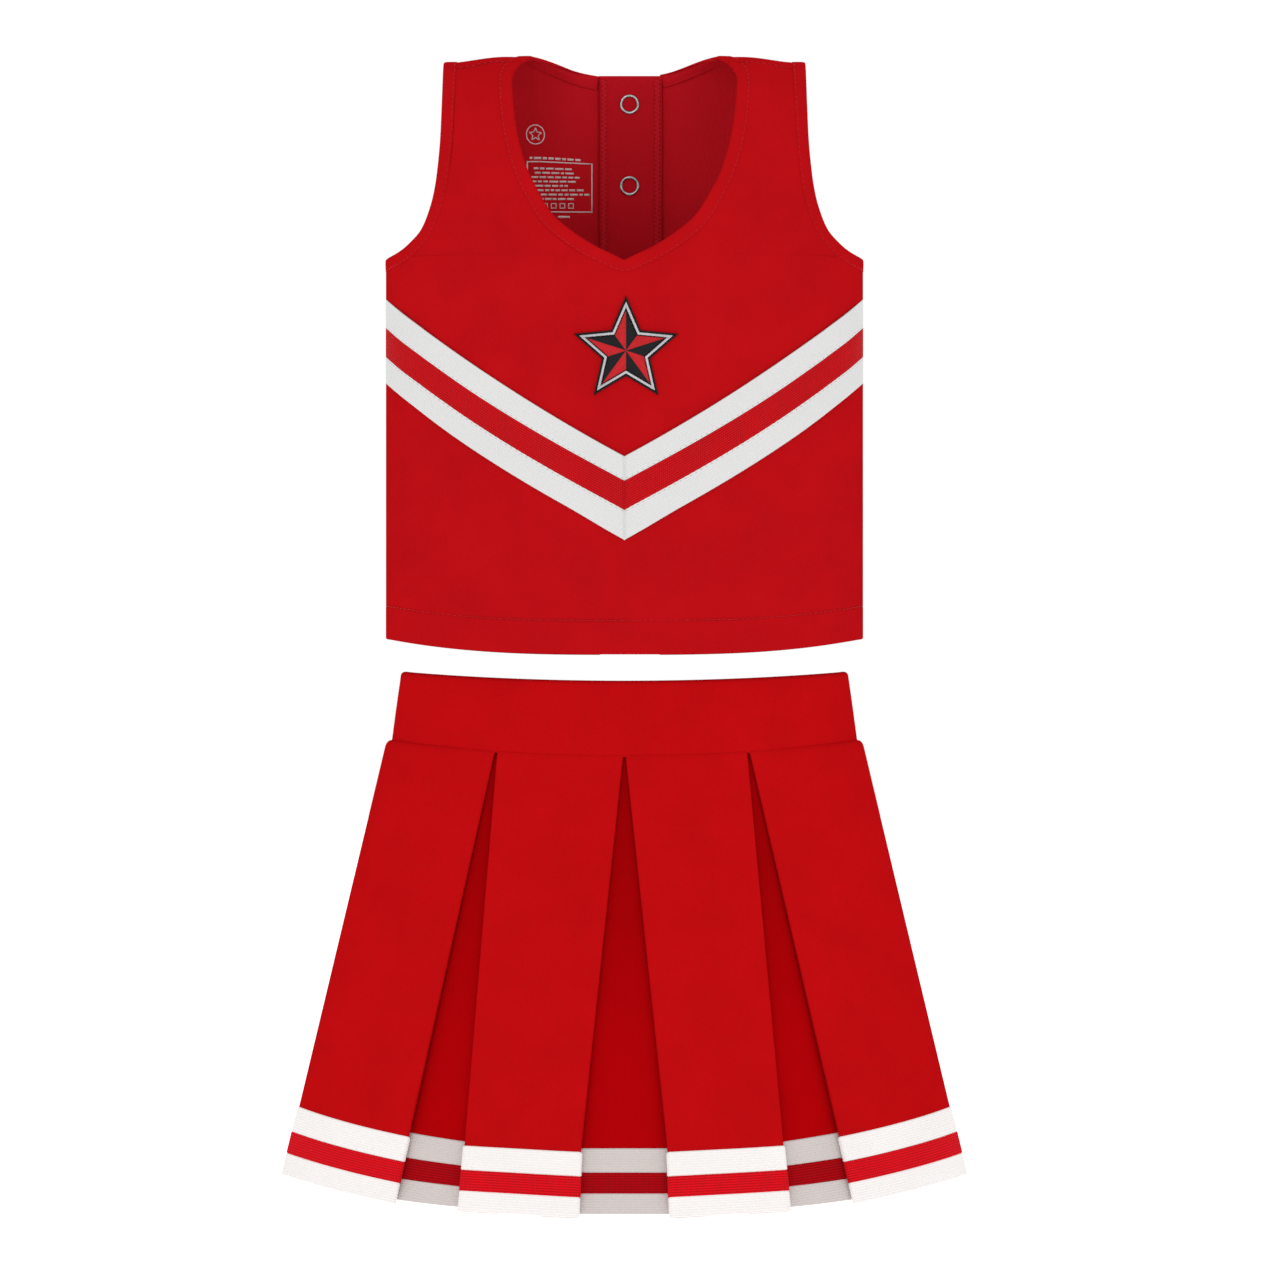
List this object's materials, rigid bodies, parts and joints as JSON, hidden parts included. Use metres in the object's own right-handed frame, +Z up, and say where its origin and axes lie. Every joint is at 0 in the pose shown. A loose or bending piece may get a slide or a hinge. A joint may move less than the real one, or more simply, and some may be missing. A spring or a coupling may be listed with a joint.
{
  "type": "cheer uniform",
  "caption": "Two-piece cheer uniform: sleeveless V-neck shell top with chevron stripes, star emblem and snap placket, over a box-pleated skirt with striped hem tape.",
  "frame": {"origin": "middle of the line across the wearer's shoulders on which both straps rest", "axes": "+Z up, -Y to the front of the garment, +X to the wearer's left"},
  "size_m": [0.3416, 0.1888, 0.5727],
  "materials": {
    "body_knit": "matte knit",
    "facing_knit": "matte knit",
    "skirt_knit": "matte knit",
    "white_tape": "ribbed knit tape",
    "red_tape": "ribbed knit tape",
    "hem_tape": "ribbed knit tape, white with a red middle stripe",
    "black_thread": "satin-stitch embroidery",
    "white_thread": "satin-stitch embroidery",
    "red_thread": "satin-stitch embroidery",
    "white_print": "heat-transfer print",
    "snap_metal": "nickel plated",
    "elastic": "woven elastic"
  },
  "bodies": {
    "top": {"front_panel": "body_knit", "back_panel_left": "body_knit", "back_panel_right": "body_knit", "neck_facing_front": "facing_knit", "neck_facing_back": "facing_knit", "armhole_facings": "facing_knit", "hem_fold": "body_knit", "shoulder_tapes": "facing_knit", "side_seams": "facing_knit", "chevron_white_left": "white_tape", "chevron_red_left": "red_tape", "chevron_white_right": "white_tape", "chevron_red_right": "red_tape", "emblem_backing": "black_thread", "emblem_border": "white_thread", "emblem_fill": "red_thread", "care_label": "white_print", "placket_underlap": "facing_knit", "snap_studs": "snap_metal", "snap_rings_inner": "snap_metal"},
    "placket": {"placket_flap": "body_knit", "snap_sockets": "snap_metal", "snap_rings_outer": "snap_metal"},
    "skirt": {"waistband": "skirt_knit", "waist_elastic": "elastic", "waistband_facing": "skirt_knit"},
    "face_front_1": {"pleat_face_front_1": "skirt_knit", "tape_face_front_1": "hem_tape"},
    "face_front_2": {"pleat_face_front_2": "skirt_knit", "tape_face_front_2": "hem_tape"},
    "face_front_3": {"pleat_face_front_3": "skirt_knit", "tape_face_front_3": "hem_tape"},
    "face_front_4": {"pleat_face_front_4": "skirt_knit", "tape_face_front_4": "hem_tape"},
    "face_back_1": {"pleat_face_back_1": "skirt_knit", "tape_face_back_1": "hem_tape"},
    "face_back_2": {"pleat_face_back_2": "skirt_knit", "tape_face_back_2": "hem_tape"},
    "face_back_3": {"pleat_face_back_3": "skirt_knit", "tape_face_back_3": "hem_tape"},
    "face_back_4": {"pleat_face_back_4": "skirt_knit", "tape_face_back_4": "hem_tape"},
    "inset_front_1": {"pleat_inset_front_1": "skirt_knit", "tape_inset_front_1": "hem_tape"},
    "inset_front_2": {"pleat_inset_front_2": "skirt_knit", "tape_inset_front_2": "hem_tape"},
    "inset_front_3": {"pleat_inset_front_3": "skirt_knit", "tape_inset_front_3": "hem_tape"},
    "inset_side_right": {"pleat_inset_side_right": "skirt_knit", "tape_inset_side_right": "hem_tape"},
    "inset_back_3": {"pleat_inset_back_3": "skirt_knit", "tape_inset_back_3": "hem_tape"},
    "inset_back_2": {"pleat_inset_back_2": "skirt_knit", "tape_inset_back_2": "hem_tape"},
    "inset_back_1": {"pleat_inset_back_1": "skirt_knit", "tape_inset_back_1": "hem_tape"},
    "inset_side_left": {"pleat_inset_side_left": "skirt_knit", "tape_inset_side_left": "hem_tape"}
  },
  "joints": [
    {"name": "skirt_pull", "type": "slide", "parent": "top", "child": "skirt", "axis": [0, 0, 1], "range_m": [-0.15, 0.03]},
    {"name": "placket_open", "type": "hinge", "parent": "top", "child": "placket", "pos_m": [-0.012, 0.0401, -0.006], "axis": [0, -0.0519, 0.9987], "range_deg": [0, 120]},
    {"name": "face_front_2_swing", "type": "hinge", "parent": "skirt", "child": "face_front_2", "pos_m": [-0.0315, -0.04522, -0.347], "axis": [-0.9924, 0.1192, 0.0314], "range_deg": [0, 10]},
    {"name": "face_front_1_swing", "type": "hinge", "parent": "skirt", "child": "face_front_1", "pos_m": [-0.0905, -0.02072, -0.3435], "axis": [-0.7966, 0.6001, 0.0725], "range_deg": [0, 10]},
    {"name": "face_front_3_swing", "type": "hinge", "parent": "skirt", "child": "face_front_3", "pos_m": [0.0315, -0.04522, -0.347], "axis": [-0.9924, -0.1192, -0.0314], "range_deg": [0, 10]},
    {"name": "face_front_4_swing", "type": "hinge", "parent": "skirt", "child": "face_front_4", "pos_m": [0.0905, -0.02072, -0.3435], "axis": [-0.7966, -0.6001, -0.0725], "range_deg": [0, 10]},
    {"name": "face_back_1_swing", "type": "hinge", "parent": "skirt", "child": "face_back_1", "pos_m": [-0.0905, 0.02072, -0.3435], "axis": [0.7966, 0.6001, -0.0725], "range_deg": [0, 10]},
    {"name": "face_back_2_swing", "type": "hinge", "parent": "skirt", "child": "face_back_2", "pos_m": [-0.0315, 0.04522, -0.347], "axis": [0.9924, 0.1192, -0.0314], "range_deg": [0, 10]},
    {"name": "face_back_3_swing", "type": "hinge", "parent": "skirt", "child": "face_back_3", "pos_m": [0.0315, 0.04522, -0.347], "axis": [0.9924, -0.1192, 0.0314], "range_deg": [0, 10]},
    {"name": "face_back_4_swing", "type": "hinge", "parent": "skirt", "child": "face_back_4", "pos_m": [0.0905, 0.02072, -0.3435], "axis": [0.7966, -0.6001, 0.0725], "range_deg": [0, 10]},
    {"name": "inset_front_1_swing", "type": "hinge", "parent": "skirt", "child": "inset_front_1", "pos_m": [-0.063, -0.04143, -0.34601], "axis": [-0.9673, 0.2536, 0], "range_deg": [0, 10]},
    {"name": "inset_front_2_swing", "type": "hinge", "parent": "skirt", "child": "inset_front_2", "pos_m": [0, -0.049, -0.348], "axis": [-1, 0, 0], "range_deg": [0, 10]},
    {"name": "inset_front_3_swing", "type": "hinge", "parent": "skirt", "child": "inset_front_3", "pos_m": [0.063, -0.04143, -0.34601], "axis": [-0.9673, -0.2536, 0], "range_deg": [0, 10]},
    {"name": "inset_back_1_swing", "type": "hinge", "parent": "skirt", "child": "inset_back_1", "pos_m": [-0.063, 0.04143, -0.34601], "axis": [0.9673, 0.2536, 0], "range_deg": [0, 10]},
    {"name": "inset_back_2_swing", "type": "hinge", "parent": "skirt", "child": "inset_back_2", "pos_m": [0, 0.049, -0.348], "axis": [1, 0, 0], "range_deg": [0, 10]},
    {"name": "inset_back_3_swing", "type": "hinge", "parent": "skirt", "child": "inset_back_3", "pos_m": [0.063, 0.04143, -0.34601], "axis": [0.9673, -0.2536, 0], "range_deg": [0, 10]},
    {"name": "inset_side_left_swing", "type": "hinge", "parent": "skirt", "child": "inset_side_left", "pos_m": [-0.118, 0, -0.341], "axis": [0, 1, 0], "range_deg": [0, 10]},
    {"name": "inset_side_right_swing", "type": "hinge", "parent": "skirt", "child": "inset_side_right", "pos_m": [0.118, 0, -0.341], "axis": [0, -1, 0], "range_deg": [0, 10]}
  ],
  "couplings": [
    {"joint": "face_front_1_swing", "follows": "face_front_2_swing", "ratio": 1},
    {"joint": "face_front_3_swing", "follows": "face_front_2_swing", "ratio": 1},
    {"joint": "face_front_4_swing", "follows": "face_front_2_swing", "ratio": 1},
    {"joint": "face_back_1_swing", "follows": "face_front_2_swing", "ratio": 1},
    {"joint": "face_back_2_swing", "follows": "face_front_2_swing", "ratio": 1},
    {"joint": "face_back_3_swing", "follows": "face_front_2_swing", "ratio": 1},
    {"joint": "face_back_4_swing", "follows": "face_front_2_swing", "ratio": 1},
    {"joint": "inset_front_1_swing", "follows": "face_front_2_swing", "ratio": 1},
    {"joint": "inset_front_2_swing", "follows": "face_front_2_swing", "ratio": 1},
    {"joint": "inset_front_3_swing", "follows": "face_front_2_swing", "ratio": 1},
    {"joint": "inset_back_1_swing", "follows": "face_front_2_swing", "ratio": 1},
    {"joint": "inset_back_2_swing", "follows": "face_front_2_swing", "ratio": 1},
    {"joint": "inset_back_3_swing", "follows": "face_front_2_swing", "ratio": 1},
    {"joint": "inset_side_left_swing", "follows": "face_front_2_swing", "ratio": 1},
    {"joint": "inset_side_right_swing", "follows": "face_front_2_swing", "ratio": 1}
  ]
}
